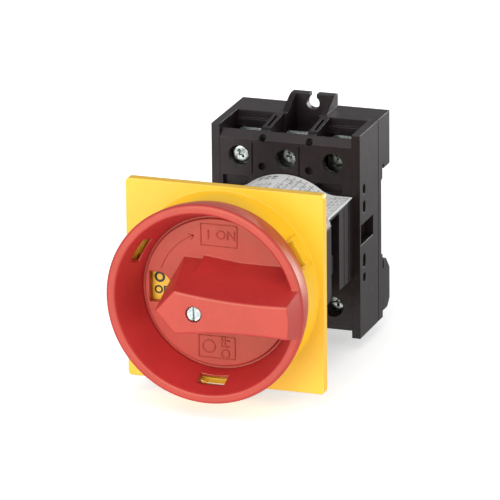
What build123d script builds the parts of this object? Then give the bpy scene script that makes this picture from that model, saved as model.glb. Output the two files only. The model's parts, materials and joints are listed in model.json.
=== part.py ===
from build123d import *
import os
from math import cos, radians, sin, sqrt

# Rotary isolator switch for a control-panel door: a three-pole switch body that
# snaps on a 35 mm rail, a square shaft, and a lockable red handle on a yellow plate.
# Millimetres. X to the right, Z up, the handle faces -Y.
# The origin lies on the shaft axis, in the plane of the mounting panel behind the rail.

# ---- switch body
body_width = 50.0
body_height = 68.0
side_cover_thickness = 2.8
front_wall = 2.8
pole_pitch = 15.8
chamber_width = 11.4
clamp_head_radius = 3.0
clamp_head_height = 1.7
terminal_height = 24.0
line_screw_depths = [2.4, 4.8, 7.2]
load_screw_depths = [3.4, 4.2, 5.4]
clamp_wall = 2.0
barrier_thickness = 3.0
driver_hole_diameter = 6.7
mouth_drop = 1.8
contact_chamber_height = 23.0

# ---- rail and rear fixings
rail_width = 35.0
rail_depth = 7.5
rail_sheet = 1.0
rail_groove_clearance = 0.3
rail_centre = 0.0
hook_overlap = 1.3
base_set_back = 1.3
base_thickness = 2.9
housing_depth = 19.3
fixing_hole_diameter = 4.4
fixing_neck = 2.5
fixing_spacing = 70.0
lug_width = 15.0
lug_thickness = 3.0
latch_travel = 4.0
latch_gap = 0.3
guide_width = 2.8

# ---- switching mechanism in front of the terminals
mechanism_width = body_width - 4.4
mechanism_depth = 26.0
dome_radius = 20.0
dome_top = 18.9
shoulder_height = 13.3
dome_fillet = 9.0
pocket_depth = 6.5
cover_depth = 5.0
cover_width = 48.0
cover_height = 32.0
label_depth = 24.0
label_thickness = 0.35
rotor_radius = 6.5
shaft_size = 6.0
shaft_clearance = 0.1
cam_base = 5.6
contact_travel = 3.0
nose_radius = 1.5
nose_gap = 0.3
detent_radius = 11.0

# ---- door plate
coupling_length = 25.0
coupler_length = coupling_length - 11.0
plate_side = 65.0
plate_thickness = 3.0
plate_corner = 1.2
collar_radius = 31.0
collar_top_radius = collar_radius - 2.0
collar_height = 8.6
collar_wall = 1.4
floor_height = 3.8
door_gap = 5.0
plate_screw_spacing = 36.0
hub_radius = 8.9
running_gap = 0.05

# ---- handle
disc_gap = 0.7
disc_thickness = 2.5
bowl_depth = 13.0
rim_radius = collar_radius + 1.4
rim_inner_radius = rim_radius - 3.1
bowl_floor_radius = rim_inner_radius - 4.4
bowl_disc_radius = bowl_floor_radius - 0.8
bowl_groove_depth = 1.0
skirt_radius = collar_radius - 0.5
skirt_length = 11.0
skirt_wall = 1.1
grip_stand_out = 9.5
grip_tip = 12.6
grip_shoulder = 6.3
grip_shoulder_half = 7.0
grip_waist_half = 5.4
grip_end_half = 5.8
grip_draft = 4.4
grip_pad_left = -4.2
grip_pad_right = 7.0
padlock_slot_width = 9.2
padlock_slot_height = 4.8
pointer_window_left = 2.4 - bowl_floor_radius
pointer_window_right = pointer_window_left + 7.3
pointer_window_half = 5.0
handle_screw_head = 4.5
handle_screw_shank = 3.0

# ---- planes along Y, from the panel forwards
rail_face = -rail_depth
base_back = rail_face - base_set_back
base_front = base_back - base_thickness
body_front = base_front - housing_depth
mechanism_front = body_front - mechanism_depth
cover_front = mechanism_front - cover_depth
plate_back = cover_front - coupling_length
plate_front = plate_back - plate_thickness
collar_top = plate_front - collar_height
drum_floor = plate_front - floor_height
disc_back = drum_floor - disc_gap
disc_front = disc_back - disc_thickness
rim_front = disc_front - bowl_depth
grip_front = rim_front - grip_stand_out

# ---- places that several pieces share
half_width = body_width / 2
half_height = body_height / 2
housing_half = half_width - side_cover_thickness
chamber_front = body_front + front_wall
chamber_back = base_front - 1.8
mouth_level = half_height - mouth_drop
contact_half = contact_chamber_height / 2
poles = [-pole_pitch, 0.0, pole_pitch]
ends = [1, -1]
rail_top = rail_centre + rail_width / 2
rail_bottom = rail_centre - rail_width / 2
hook_level = rail_top - hook_overlap
flange_back = rail_face + rail_sheet + rail_groove_clearance
latch_front = rail_face + latch_gap
latch_bottom = -half_height + 2.0
latch_top = rail_bottom + 2.5
trough_half = lug_width / 2 - 2.0
socket = shaft_size + shaft_clearance
rotor_front = cover_front - 4.0
cam_front = chamber_front + 1.2
cam_back = chamber_front + 6.2
shaft_front = disc_front + 4.2
padlock_angles = [30, 150, 270]
slot_centre = disc_front - 5.6
skirt_rear = rim_front + skirt_length
groove_inner = collar_top_radius - collar_wall - 0.4
groove_outer = skirt_radius - skirt_wall
groove_bottom = collar_top - 1.9
hub_back = plate_back + door_gap - 0.6
screw_seat = grip_front + 2.6
clip_front = plate_back + 0.4
clip_thickness = 1.0
clip_inner = hub_radius - 0.9
seal_middle = plate_back - 3.4
seal_groove_half = 0.8
seal_groove_radius = hub_radius - 1.5
seal_radius = hub_radius - 0.75
seal_cord_radius = 0.72
post_bottom = latch_bottom + 3.4
post_height = 2.6
guide_places = [-half_width + 7.0, half_width - 7.0]
spring_places = [-half_width + 14.5, half_width - 14.5]
spring_seat = latch_bottom + 2.4
spring_seat_height = 1.6
spring_radius = 2.0
spring_length = 6.5
spring_centre_y = -4.3
tip_radius = 1.3
tip_thickness = 0.5


def block(x0, x1, y0, y1, z0, z1):
    """Box between two corners."""
    middle = Pos((x0 + x1) / 2, (y0 + y1) / 2, (z0 + z1) / 2)
    return middle * Box(x1 - x0, y1 - y0, z1 - z0)


def rod(radius, y0, y1, x=0.0, z=0.0):
    """Round bar along Y."""
    return Pos(x, (y0 + y1) / 2, z) * Rot(90, 0, 0) * Cylinder(radius, y1 - y0)


def ring(outer, inner, y0, y1, x=0.0, z=0.0):
    """Washer or sleeve along Y."""
    return rod(outer, y0, y1, x, z) - rod(inner, y0 - 1, y1 + 1, x, z)


def along_y(sketch, y0, y1):
    """Extrude an X, Z sketch from y0 to y1."""
    return extrude(Plane.XZ.offset(-y1) * sketch, amount=y1 - y0)


def along_x(points, x0, x1):
    """Extrude an outline of (y, z) points from x0 to x1."""
    outline = make_face(Plane.YZ * Polyline(*points, close=True))
    return Pos(x0, 0, 0) * extrude(outline, amount=x1 - x0, dir=(1, 0, 0))


def turned(*points):
    """Turn an outline of (radius, y) points about the shaft axis."""
    return revolve(make_face(Polyline(*points, close=True)), Axis.Y)


def square_hole(y0, y1):
    """Square socket on the shaft axis."""
    half = socket / 2
    return block(-half, half, y0, y1, -half, half)


def screw(x, z, head_front, head_radius, head_height, shank_radius, shank_end):
    """Cheese-head screw whose head faces -Y, with a cross and slot recess."""
    head = rod(head_radius, head_front, head_front + head_height, x, z)
    shank = rod(shank_radius, head_front + head_height, shank_end, x, z)
    reach = head_radius * 0.62
    deep = head_front + head_height * 0.6
    upright = block(x - 0.4, x + 0.4, head_front - 1, deep, z - head_radius, z + head_radius)
    across = block(x - reach, x + reach, head_front - 1, deep, z - 0.4, z + 0.4)
    return head + shank - upright - across


# ---------------------------------------------------------------- rear base
def fixing_notch(end):
    """Keyhole notch for a panel screw, open at the outer edge."""
    centre = end * fixing_spacing / 2
    outer = end * (half_height + 10)
    low, high = min(centre, outer), max(centre, outer)
    neck = block(-fixing_neck / 2, fixing_neck / 2, -lug_thickness - 9, 1, low, high)
    return rod(fixing_hole_diameter / 2, -lug_thickness - 9, 1, 0, centre) + neck


def fixing_lug(end):
    """Thin lug with cheeks that slope down to the body's edge."""
    half = lug_width / 2
    top = fixing_spacing / 2 + fixing_hole_diameter / 2 + 0.8
    root = half_height - 8
    wall = block(-half, half, -lug_thickness, 0, root, top)
    cheek_outline = [
        (0, root),
        (base_front, root),
        (base_front, half_height),
        (-lug_thickness - 2.0, top - 0.6),
        (-lug_thickness, top),
        (0, top),
    ]
    cheek = along_x(cheek_outline, half - 2.0, half)
    cheeks = cheek + mirror(cheek, Plane.YZ)
    lug = wall + cheeks
    return lug if end > 0 else mirror(lug, Plane.XY)


def guide_post(x):
    """Post that the latch slides on, with a hole for its rivet."""
    half = guide_width / 2
    post = block(x - half, x + half, rail_face, -1.1, post_bottom, post_bottom + post_height)
    return post - rod(0.85, -4.6, 0, x, post_bottom + post_height / 2)


def make_rear_base():
    """Back of the body: rail hook, contact pads, latch guides and screw lugs."""
    base = block(-half_width, half_width, base_front, base_back, -half_height, half_height)
    hook = block(-half_width, half_width, base_back, 0, rail_top + 0.2, half_height)
    lip = block(-half_width, half_width, flange_back, 0, hook_level, rail_top + 0.3)
    top_pad = block(-half_width, half_width, base_back - 0.1, rail_face, rail_top - 4.5, rail_top + 1)
    low_pad = block(-half_width, half_width, base_back - 0.1, rail_face, -half_height, rail_bottom + 5)
    base = base + hook + lip + top_pad + low_pad
    for end in ends:
        edge = end * (half_height + 6)
        root = end * (half_height - 8)
        low, high = min(edge, root), max(edge, root)
        base -= block(-trough_half, trough_half, base_front - 1, -lug_thickness, low, high)
        base += fixing_lug(end)
    for end in ends:
        base -= fixing_notch(end)
    for x in guide_places:
        base += guide_post(x)
    for x in spring_places:
        base += block(x - 1.9, x + 1.9, rail_face, -2.2, spring_seat, spring_seat + spring_seat_height)
    return base


# ---------------------------------------------------------------- rail latch
def make_rail_latch():
    """Snap latch: its tongue reaches behind the rail's lower flange."""
    outline = [
        (latch_front, latch_bottom),
        (latch_front, rail_bottom - 0.4),
        (flange_back, rail_bottom - 0.4),
        (flange_back, latch_top),
        (flange_back + 2.6, latch_top),
        (0, latch_top - 4.1),
        (0, latch_bottom + 2.4),
        (-2.4, latch_bottom),
    ]
    side = half_width - 0.1
    latch = along_x(outline, -side, side)
    lug_half = lug_width / 2 + 0.5
    lug_root = -half_height + 8 + latch_travel + 0.5
    latch -= block(-lug_half, lug_half, -20, 1, latch_bottom - 1, lug_root)
    post_top = post_bottom + post_height + latch_travel
    for x in guide_places:
        reach = guide_width / 2 + 0.2
        latch -= block(x - reach, x + reach, -9, 1, post_bottom - 0.3, post_top + 0.3)
        latch -= block(x - 3.1, x + 3.1, -1.6, 1, post_bottom - 1.9, post_top + 1.9)
    for x in spring_places:
        low, high = spring_seat - 0.3, spring_seat + spring_seat_height + spring_length
        latch -= block(x - 2.4, x + 2.4, -9, -1.5, low, high)
    return latch


def make_latch_springs():
    """Two compression springs, each drawn as the sleeve its coils fill."""
    low = spring_seat + spring_seat_height
    springs = []
    for x in spring_places:
        sleeve = Cylinder(spring_radius, spring_length) - Cylinder(spring_radius - 0.6, spring_length)
        springs.append(Pos(x, spring_centre_y, low + spring_length / 2) * sleeve)
    return springs


def make_latch_rivets():
    """Flat rivets that hold the latch on its guide posts."""
    rivets = []
    for x in guide_places:
        z = post_bottom + post_height / 2
        rivets.append(rod(2.8, -1.1, -0.25, x, z) + rod(0.82, -4.4, -1.1, x, z))
    return rivets


# ---------------------------------------------------------------- terminal housing
def both_ends(tool):
    """A cut at the line end and its mirror image at the load end."""
    return tool + mirror(tool, Plane.XY)


def terminal_cuts(x):
    """Clamp chamber, cable mouth, driver hole and contact passage of one pole."""
    half = chamber_width / 2
    root = terminal_height - 10.5
    above = half_height + 1
    chamber = block(x - half, x + half, chamber_front, chamber_back, root, above)
    mouth_half = (pole_pitch - barrier_thickness) / 2
    mouth = block(x - mouth_half, x + mouth_half, chamber_front - 0.6, chamber_back, mouth_level - 4, above)
    hole = rod(driver_hole_diameter / 2, body_front - 1, chamber_front + 1, x, terminal_height)
    passage = block(x + 4.4, x + 5.7, -20, -15, contact_half - 1, root + 1)
    return both_ends(chamber + mouth + hole + passage)


def front_details():
    """Small wells, seams and shallow pockets on the front face."""
    cuts = []
    for x in (-pole_pitch / 2, pole_pitch / 2):
        cuts.append(rod(1.3, body_front - 1, body_front + 2.2, x, terminal_height - 3.1))
        cuts.append(rod(1.1, body_front - 1, base_front + 1, x, mouth_level - 1.9))
        seam_x = x - 3.5
        cuts.append(block(seam_x, seam_x + 0.4, body_front - 1, body_front + 0.5, 18, 28.5))
        slit_y = (chamber_front + 3, chamber_back - 2)
        cuts.append(block(x - 0.45, x + 0.45, *slit_y, mouth_level - 0.6, half_height + 1))
    for x in (-pole_pitch, pole_pitch):
        cuts.append(block(x - 5.4, x + 3.0, body_front - 1, body_front + 2.0, 13.7, 17.2))
    tools = cuts[0]
    for cut in cuts[1:]:
        tools += cut
    return both_ends(tools)


def barrier_crest(x):
    """Top of the wall between two poles, which climbs towards the rear."""
    low = mouth_level - 0.1
    crest = [
        (body_front + 3.4, low),
        (body_front + 4.6, mouth_level + 0.5),
        (chamber_back + 0.1, half_height),
        (chamber_back + 0.1, low),
    ]
    half = barrier_thickness / 2
    return both_ends(along_x(crest, x - half, x + half))


def cable_stop(x):
    """Rib across the back of an outer cable mouth."""
    half = (pole_pitch - barrier_thickness) / 2 + 0.1
    front, back = chamber_back - 1.3, chamber_back + 0.1
    return both_ends(block(x - half, x + half, front, back, mouth_level - 3.4, mouth_level - 0.8))


def make_terminal_housing():
    """Moulded block with three terminal chambers at each end and the contact chamber."""
    side = housing_half
    housing = block(-side, side, body_front, base_front, -half_height, half_height)
    step = block(-side - 1, side + 1, body_front - 1, chamber_back, mouth_level, half_height + 1)
    slope_start = mouth_level - 2.4
    slope = [
        (body_front - 1, slope_start),
        (body_front, slope_start),
        (body_front + 2.0, mouth_level + 0.01),
        (body_front + 2.0, mouth_level + 1),
        (body_front - 1, mouth_level + 1),
    ]
    housing -= both_ends(step + along_x(slope, -side - 1, side + 1))
    for x in (-pole_pitch / 2, pole_pitch / 2):
        housing += barrier_crest(x)
    for x in poles:
        housing -= terminal_cuts(x)
    for x in (-pole_pitch, pole_pitch):
        housing += cable_stop(x) & block(-side, side, -50, 0, -half_height, half_height)
    lug_trench = (chamber_back - 1, base_front + 1)
    housing -= both_ends(block(-trough_half, trough_half, *lug_trench, half_height - 7, half_height + 1))
    contact_side = pole_pitch + chamber_width / 2
    contact_y = (chamber_front, base_front + 1)
    housing -= block(-contact_side, contact_side, *contact_y, -contact_half, contact_half)
    housing -= rod(rotor_radius + 3.5, body_front - 1, chamber_front + 1)
    housing -= front_details()
    return housing


# ---------------------------------------------------------------- side covers
def make_side_cover():
    """Right-hand cover plate with vents, a window and a stepped rear edge."""
    cover = block(housing_half, half_width, body_front, base_front, -half_height, half_height)
    vents = [(15.2, 3.2), (9.3, 3.9), (-8.7, 4.4), (-14.4, 3.0)]
    for height, length in vents:
        slot = RectangleRounded(2.6, length, 1.0)
        tool = extrude(Plane.YZ.offset(housing_half - 1) * Pos(body_front + 4.4, height) * slot, amount=10)
        cover -= tool
    cover -= block(housing_half - 1, half_width + 1, body_front + 0.9, body_front + 13.6, -2.7, 3.9)
    tall = half_height + 1
    return cover - block(half_width - 0.4, half_width + 1, base_front - 0.5, base_front + 1, -tall, tall)


# ---------------------------------------------------------------- terminals
def clamp_front(depth):
    """Front of a cage whose screw head lies this deep behind the body's front."""
    return body_front + depth + clamp_head_height + 0.4


def screw_depths(end):
    return line_screw_depths if end > 0 else load_screw_depths


def make_clamp(x, end, depth):
    """Zinc-plated cage with a threaded front wall and a tongue up to the cable mouth."""
    low, high = terminal_height - 5.2, terminal_height + 4.6
    front, back = chamber_front + 0.1, chamber_back - 0.4
    wall_front = clamp_front(depth)
    cage = block(x - 4.6, x + 4.6, wall_front, back, low, high)
    cage -= block(x - 3.7, x + 3.7, wall_front + clamp_wall, back - 1.2, low - 1, high + 1)
    shelf = terminal_height + clamp_head_radius + 0.6
    cage += block(x - 4.2, x + 4.2, front, wall_front + 1, shelf, high)
    cage += block(x - 4.2, x + 4.2, front, front + 0.9, shelf, mouth_level - 0.5)
    cage -= rod(2.0, front - 1, wall_front + 3, x, terminal_height)
    return cage if end > 0 else mirror(cage, Plane.XY)


def make_clamps(end):
    return [make_clamp(x, end, depth) for x, depth in zip(poles, screw_depths(end))]


def make_terminal_screws(end):
    """One clamp screw to a pole, each left at its own depth."""
    screws = []
    for x, depth in zip(poles, screw_depths(end)):
        head_front = body_front + depth
        tip = clamp_front(depth) + clamp_wall + 0.8
        place = end * terminal_height
        screws.append(screw(x, place, head_front, clamp_head_radius, clamp_head_height, 1.97, tip))
    return screws


def make_fixed_contacts(end):
    """Copper strips from each clamp to the contact chamber."""
    root = terminal_height - 10.5
    strips = []
    for x in poles:
        upright = block(x + 4.6, x + 5.4, -19, -16, 5.6, root + 1.6)
        bridge = block(x - 3.2, x + 5.4, -19, -16, root + 0.8, root + 1.6)
        tongue = block(x - 3.2, x + 3.2, -17, -16, root + 0.9, terminal_height + 3.6)
        strip = upright + bridge + tongue
        strips.append(strip if end > 0 else mirror(strip, Plane.XY))
    return strips


def contact_tip(x0, z):
    """Silver contact button with its axis along X."""
    return Pos(x0 + tip_thickness / 2, -17.5, z) * Rot(0, 90, 0) * Cylinder(tip_radius, tip_thickness)


def make_fixed_tips():
    return [contact_tip(x + 4.1, end * 7.2) for x in poles for end in ends]


# ---------------------------------------------------------------- moving contacts
def make_contact_carrier():
    """Slider that the cam pushes sideways; its three posts carry the moving contacts."""
    right_wall = cam_base + nose_gap + 2 * nose_radius + 1.5
    left_wall = -(cam_base + contact_travel + nose_gap + 2 * nose_radius)
    plate_y = (chamber_front + 1.2, chamber_front + 6.2)
    carrier = block(-17.6, 17.6, *plate_y, -contact_half + 0.7, contact_half - 0.7)
    carrier -= block(left_wall, right_wall, -40, 0, -9.35, 9.35)
    nose = rod(nose_radius, *plate_y)
    right_centre = cam_base + nose_gap + nose_radius
    left_centre = -(cam_base + contact_travel + nose_gap + nose_radius)
    carrier += Pos(right_centre, 0, 0) * nose
    carrier += block(right_centre, right_wall + 0.1, *plate_y, -nose_radius, nose_radius)
    carrier += Pos(left_centre, 0, 0) * nose
    carrier += block(left_wall - 0.1, left_centre, *plate_y, -nose_radius, nose_radius)
    carrier += block(-17.6, 15.0, plate_y[1] - 0.1, plate_y[1] + 1.4, 9.4, contact_half - 0.7)
    carrier += block(-17.6, 15.0, plate_y[1] - 0.1, plate_y[1] + 1.4, -contact_half + 0.7, -9.4)
    for x in poles:
        post_y = plate_y[1] + 0.4
        arm = block(x - 3.0, x - 1.8, post_y, -14.6, -10.0, 10.0)
        carrier += arm
    return carrier


def make_bridges():
    """Copper bridge of each pole, which joins its two fixed contacts."""
    return [block(x - 0.4, x + 0.4, -19.2, -15.8, -8.8, 8.8) for x in poles]


def make_bridge_tips():
    return [contact_tip(x + 0.4, end * 7.2) for x in poles for end in ends]


def make_contact_springs():
    """Short springs that press each bridge against its contacts."""
    springs = []
    for x in poles:
        sleeve = Cylinder(1.5, 1.4) - Cylinder(1.0, 1.4)
        springs.append(Pos(x - 1.1, -17.5, 0) * Rot(0, 90, 0) * sleeve)
    return springs


# ---------------------------------------------------------------- rotor and shaft
def cam_profile():
    """Cam of constant breadth: its radius falls and rises evenly with the angle."""
    rise = contact_travel / 90
    points = []
    for angle in range(-10, 101, 5):
        points.append((cam_base + rise * angle, angle))
    for angle in range(170, 281, 5):
        points.append((cam_base + contact_travel - rise * (angle - 180), angle))
    outline = [(r * cos(radians(a)), r * sin(radians(a))) for r, a in points]
    high = points[22][0]
    low = points[-1][0]
    top_arc = (high * cos(radians(135)), high * sin(radians(135)))
    low_arc = (low * cos(radians(315)), low * sin(radians(315)))
    rising = Spline(*outline[:23])
    crest = ThreePointArc(outline[22], top_arc, outline[23])
    falling = Spline(*outline[23:])
    heel = ThreePointArc(outline[-1], low_arc, outline[0])
    return make_face([rising, crest, falling, heel])


def make_cam_rotor():
    """Plastic rotor: front sleeve, journal, and the cam in the contact chamber."""
    rotor = rod(rotor_radius, rotor_front, cam_front)
    rotor += rod(rotor_radius + 3.0, body_front - 1.0, body_front + 0.9)
    rotor += along_y(cam_profile(), cam_front - 0.1, cam_back)
    return rotor - square_hole(rotor_front - 1, cam_back + 1)


def make_shaft():
    """Square steel shaft, tapped at the front for the handle screw."""
    half = shaft_size / 2
    shaft = block(-half, half, shaft_front, cam_back - 0.4, -half, half)
    return shaft - rod(handle_screw_shank / 2 + 0.02, shaft_front - 1, shaft_front + 7)


def make_shaft_coupler():
    """Sleeve on the shaft between the switch and the door."""
    back = rotor_front - 0.5
    front = back - coupler_length
    sleeve = rod(8.0, front, back) + rod(9.4, back - 3.0, back)
    return sleeve - square_hole(front - 1, back + 1)


def make_detent_wheel():
    """Four-lobed wheel that holds the switch at its two stops."""
    wheel = along_y(RectangleRounded(16.6, 16.6, 2.4), mechanism_front + 3, mechanism_front + 9)
    wheel = wheel & rod(detent_radius, mechanism_front + 2, mechanism_front + 10)
    return wheel - rod(rotor_radius, mechanism_front + 2, mechanism_front + 10)


def make_detent_springs():
    """Flat leaf springs either side of the detent wheel."""
    inner = detent_radius + 0.35
    leaf = block(inner, inner + 0.5, mechanism_front + 3.5, mechanism_front + 8.5, -8, 8)
    return [leaf, mirror(leaf, Plane.YZ)]


def make_rotor_circlip():
    """Spring clip round the rotor sleeve in front of the mechanism cover."""
    clip = ring(8.2, rotor_radius, cover_front - 1.6, cover_front - 0.6)
    return clip - block(-1.6, 1.6, cover_front - 3, cover_front, 0, 12)


# ---------------------------------------------------------------- mechanism housing
def dome_profile(grow=0.0):
    """Outline with a domed top and bottom that runs out to square shoulders."""
    half = mechanism_width / 2
    radius = dome_radius + grow
    centre = dome_top - dome_radius
    shoulder = shoulder_height + grow
    blend = dome_fillet - grow
    fillet_z = shoulder + blend
    fillet_x = sqrt((radius + blend) ** 2 - (fillet_z - centre) ** 2)
    share = radius / (radius + blend)
    join = (fillet_x * share, centre + (fillet_z - centre) * share)
    middle_dir = (join[0] - fillet_x, join[1] - fillet_z - blend)
    scale = blend / sqrt(middle_dir[0] ** 2 + middle_dir[1] ** 2)
    blend_middle = (fillet_x + middle_dir[0] * scale, fillet_z + middle_dir[1] * scale)
    upper = [
        ThreePointArc((-join[0], join[1]), (0, centre + radius), join),
        ThreePointArc(join, blend_middle, (fillet_x, shoulder)),
        Line((fillet_x, shoulder), (half, shoulder)),
        Line((half, shoulder), (half, 0)),
        Line((half, 0), (-half, 0)),
        Line((-half, 0), (-half, shoulder)),
        Line((-half, shoulder), (-fillet_x, shoulder)),
        ThreePointArc((-fillet_x, shoulder), (-blend_middle[0], blend_middle[1]), (-join[0], join[1])),
    ]
    face = make_face(upper)
    return face + mirror(face, Plane.XZ)


def make_mechanism_housing():
    """Domed housing of the snap mechanism, ribbed and pocketed at its sides."""
    half = mechanism_width / 2
    housing = along_y(dome_profile(), mechanism_front, body_front)
    housing -= rod(detent_radius + 3.5, mechanism_front - 1, body_front - 2.0)
    housing -= rod(rotor_radius + 3.5, body_front - 3, body_front + 1)
    pocket_back = body_front - 14.5
    pocket_front = pocket_back - 9.0
    reach = (-shoulder_height - 8, shoulder_height - 0.8)
    for side in ends:
        low, high = sorted((side * (half - pocket_depth), side * (half + 1)))
        housing -= block(low, high, pocket_front, pocket_back, *reach)
        low, high = sorted((side * (half - pocket_depth - 0.5), side * (half - 1.4)))
        housing += block(low, high, pocket_front + 2.6, pocket_back - 1.6, -7.0, -1.0)
        low, high = sorted((side * (half - 0.4), side * (half + 1)))
        for place in (body_front - 5.0, body_front - 9.6):
            housing -= block(low, high, place - 0.25, place + 0.25, *reach)
    for x, z in case_screw_places():
        housing -= rod(1.3, mechanism_front - 1, mechanism_front + 7, x, z)
    return housing


def case_screw_places():
    """Corner screws of the mechanism cover."""
    x, z = mechanism_width / 2 - 5.4, shoulder_height - 3.6
    return [(x, z), (-x, z), (x, -z), (-x, -z)]


def make_circuit_label():
    """Wrap-round paper label on the top of the mechanism housing."""
    half = mechanism_width / 2
    back = body_front - 0.6
    sheet = along_y(dome_profile(label_thickness), back - label_depth, back)
    sheet -= along_y(dome_profile(), back - label_depth - 1, back + 1)
    return sheet & block(-half + 0.2, half - 0.2, back - label_depth, back, 2, 40)


def make_mechanism_cover():
    """Front cover flange of the switch, with the rotor's bush seat."""
    outline = RectangleRounded(cover_width, cover_height, 5.0)
    cover = along_y(outline, cover_front, mechanism_front)
    cover -= rod(9.6, cover_front - 1, mechanism_front + 1)
    for x, z in case_screw_places():
        cover -= rod(1.6, cover_front - 1, mechanism_front + 1, x, z)
        cover -= rod(2.7, cover_front - 1, cover_front + 1.8, x, z)
    return cover


def make_cover_screws():
    """Four screws that close the mechanism."""
    screws = []
    for x, z in case_screw_places():
        screws.append(screw(x, z, cover_front + 0.2, 2.5, 1.6, 1.25, mechanism_front + 6))
    return screws


def make_rotor_bush():
    """Flanged bearing bush of the rotor."""
    bush = rod(9.6, cover_front, mechanism_front) + rod(10.6, mechanism_front, mechanism_front + 0.9)
    return bush - rod(rotor_radius + running_gap, cover_front - 1, mechanism_front + 3)


def make_case_rivets():
    """Tubular rivets through the barriers, sunk below the front face."""
    rivets = []
    for x in (-pole_pitch / 2, pole_pitch / 2):
        for end in ends:
            rivets.append(ring(1.08, 0.55, body_front + 5.5, base_front, x, end * (mouth_level - 1.9)))
    return rivets


# ---------------------------------------------------------------- door plate
def plate_screw_places():
    half = plate_screw_spacing / 2
    return [(half, half), (-half, half), (half, -half), (-half, -half)]


def make_front_plate():
    """Yellow escutcheon with a raised collar round the handle."""
    plate = along_y(RectangleRounded(plate_side, plate_side, plate_corner), plate_front, plate_back)
    inner = collar_top_radius - collar_wall
    plate += turned(
        (0, plate_front + 0.1),
        (collar_radius, plate_front + 0.1),
        (collar_radius, plate_front),
        (collar_top_radius, collar_top),
        (inner, collar_top),
        (inner, drum_floor),
        (0, drum_floor),
    )
    for angle in padlock_angles:
        pad = block(collar_top_radius - 0.8, collar_radius - 0.6, collar_top + 2.0, plate_front, -5.2, 5.2)
        slit = block(inner - 1, collar_radius + 2, collar_top + 0.9, collar_top + 3.2, -4.2, 4.2)
        plate += Rot(0, -angle, 0) * pad
        plate -= Rot(0, -angle, 0) * slit
    plate -= rod(hub_radius + running_gap, drum_floor - 1, plate_back + 1)
    plate -= ring(22.0, 18.6, plate_back - 1.2, plate_back + 1)
    for x, z in plate_screw_places():
        plate -= rod(1.45, plate_back - 5.6, plate_back + 1, x, z)
    return plate


def make_plate_seal():
    """Flat rubber gasket in the back of the plate."""
    return ring(22.0, 18.6, plate_back - 1.2, plate_back)


def make_door_frame():
    """Clamping frame on the inner side of the door."""
    front = plate_back + door_gap
    frame = along_y(RectangleRounded(47, 47, 4), front, front + 2.5)
    frame -= rod(13, front - 1, front + 4)
    for x, z in plate_screw_places():
        frame -= rod(1.6, front - 1, front + 4, x, z)
    return frame


def make_plate_screws():
    """Screws from the clamping frame through the door into the plate."""
    seat = plate_back + door_gap + 2.5
    return [mirrored_screw(x, z, seat) for x, z in plate_screw_places()]


def mirrored_screw(x, z, seat):
    """Screw whose head faces +Y."""
    body = rod(2.75, seat, seat + 1.9, x, z) + rod(1.4, plate_back - 5.2, seat, x, z)
    return body - block(x - 0.4, x + 0.4, seat + 0.9, seat + 3, z - 4, z + 4)


# ---------------------------------------------------------------- handle
def grip_outline(level):
    """Outline of the grip bar; it widens evenly from its front towards the bowl floor."""
    depth = (level - grip_front) / (disc_front - grip_front)
    grow = grip_draft * depth
    side = 1.15 * grow
    tip = -(grip_tip + grow)
    shoulder = -(grip_shoulder + grow)
    half = grip_shoulder_half + 0.87 * grow
    end = rim_radius + 4
    points = [
        (tip, 0),
        (shoulder, half),
        (8, grip_waist_half + side),
        (end, grip_end_half + side),
        (end, -grip_end_half - side),
        (8, -grip_waist_half - side),
        (shoulder, -half),
    ]
    edges = [
        Line(points[0], points[1]),
        ThreePointArc(points[1], points[2], points[3]),
        Line(points[3], points[4]),
        ThreePointArc(points[4], points[5], points[6]),
        Line(points[6], points[0]),
    ]
    return Plane.XZ.offset(-level) * make_face(edges)


def pad_section(level, left_edge, right_edge):
    """Section of the finger pad at one level, from inside the grip to its edge."""
    corners = [
        (grip_pad_left, 3),
        (grip_pad_left, left_edge),
        (grip_pad_right, right_edge),
        (grip_pad_right, 3),
    ]
    return Plane.XZ.offset(-level) * make_face(Polyline(*corners, close=True))


def grip_pad(end):
    """Raised finger pad at the foot of one side of the grip."""
    foot = pad_section(disc_front + 0.5, 12.0, 10.7)
    head = pad_section(grip_front + 1.5, 5.6, 4.9)
    pad = loft([foot, head], ruled=True)
    return pad if end > 0 else mirror(pad, Plane.XY)


def make_grip():
    """Arrow-ended grip bar, cut to the handle's outer contour."""
    bar = loft([grip_outline(disc_front + 1.0), grip_outline(grip_front)], ruled=True)
    front = bar.faces().sort_by(Axis.Y)[0]
    bar = fillet(front.edges(), 0.7)
    for end in ends:
        bar += grip_pad(end)
    envelope = turned(
        (0, disc_front + 1.5),
        (groove_inner - 0.5, disc_front + 1.5),
        (groove_inner - 0.5, groove_bottom - 0.5),
        (skirt_radius + 0.4, groove_bottom - 0.5),
        (skirt_radius + 1.2, rim_front + 5),
        (rim_radius - 0.2, rim_front + 1),
        (rim_radius - 0.5, rim_front),
        (rim_radius - 1.7, grip_front - 1),
        (0, grip_front - 1),
    )
    return bar & envelope


def padlock_window(angle):
    """Slot through the bowl wall for a padlock shackle."""
    low, high = slot_centre - padlock_slot_height / 2, slot_centre + padlock_slot_height / 2
    deep = groove_outer - 0.05
    half = padlock_slot_width / 2
    window = block(bowl_floor_radius - 2.0, deep, low, high, -half, half)
    relief = block(bowl_floor_radius + 1.5, deep, low + 1, disc_back + 1, -half, half)
    return Rot(0, -angle, 0) * (window + relief)


def pointer_window():
    """Window in the bowl floor with a rounded inner end."""
    half = pointer_window_half
    depth = (disc_front - 1, disc_back + 1)
    window = block(pointer_window_left, pointer_window_right + 1, *depth, -half, half)
    length = 2.4 * half
    rounded = Pos(pointer_window_right - length / 2, 0) * RectangleRounded(length, 2 * half, 0.9 * half)
    return window & along_y(rounded, *depth)


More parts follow.
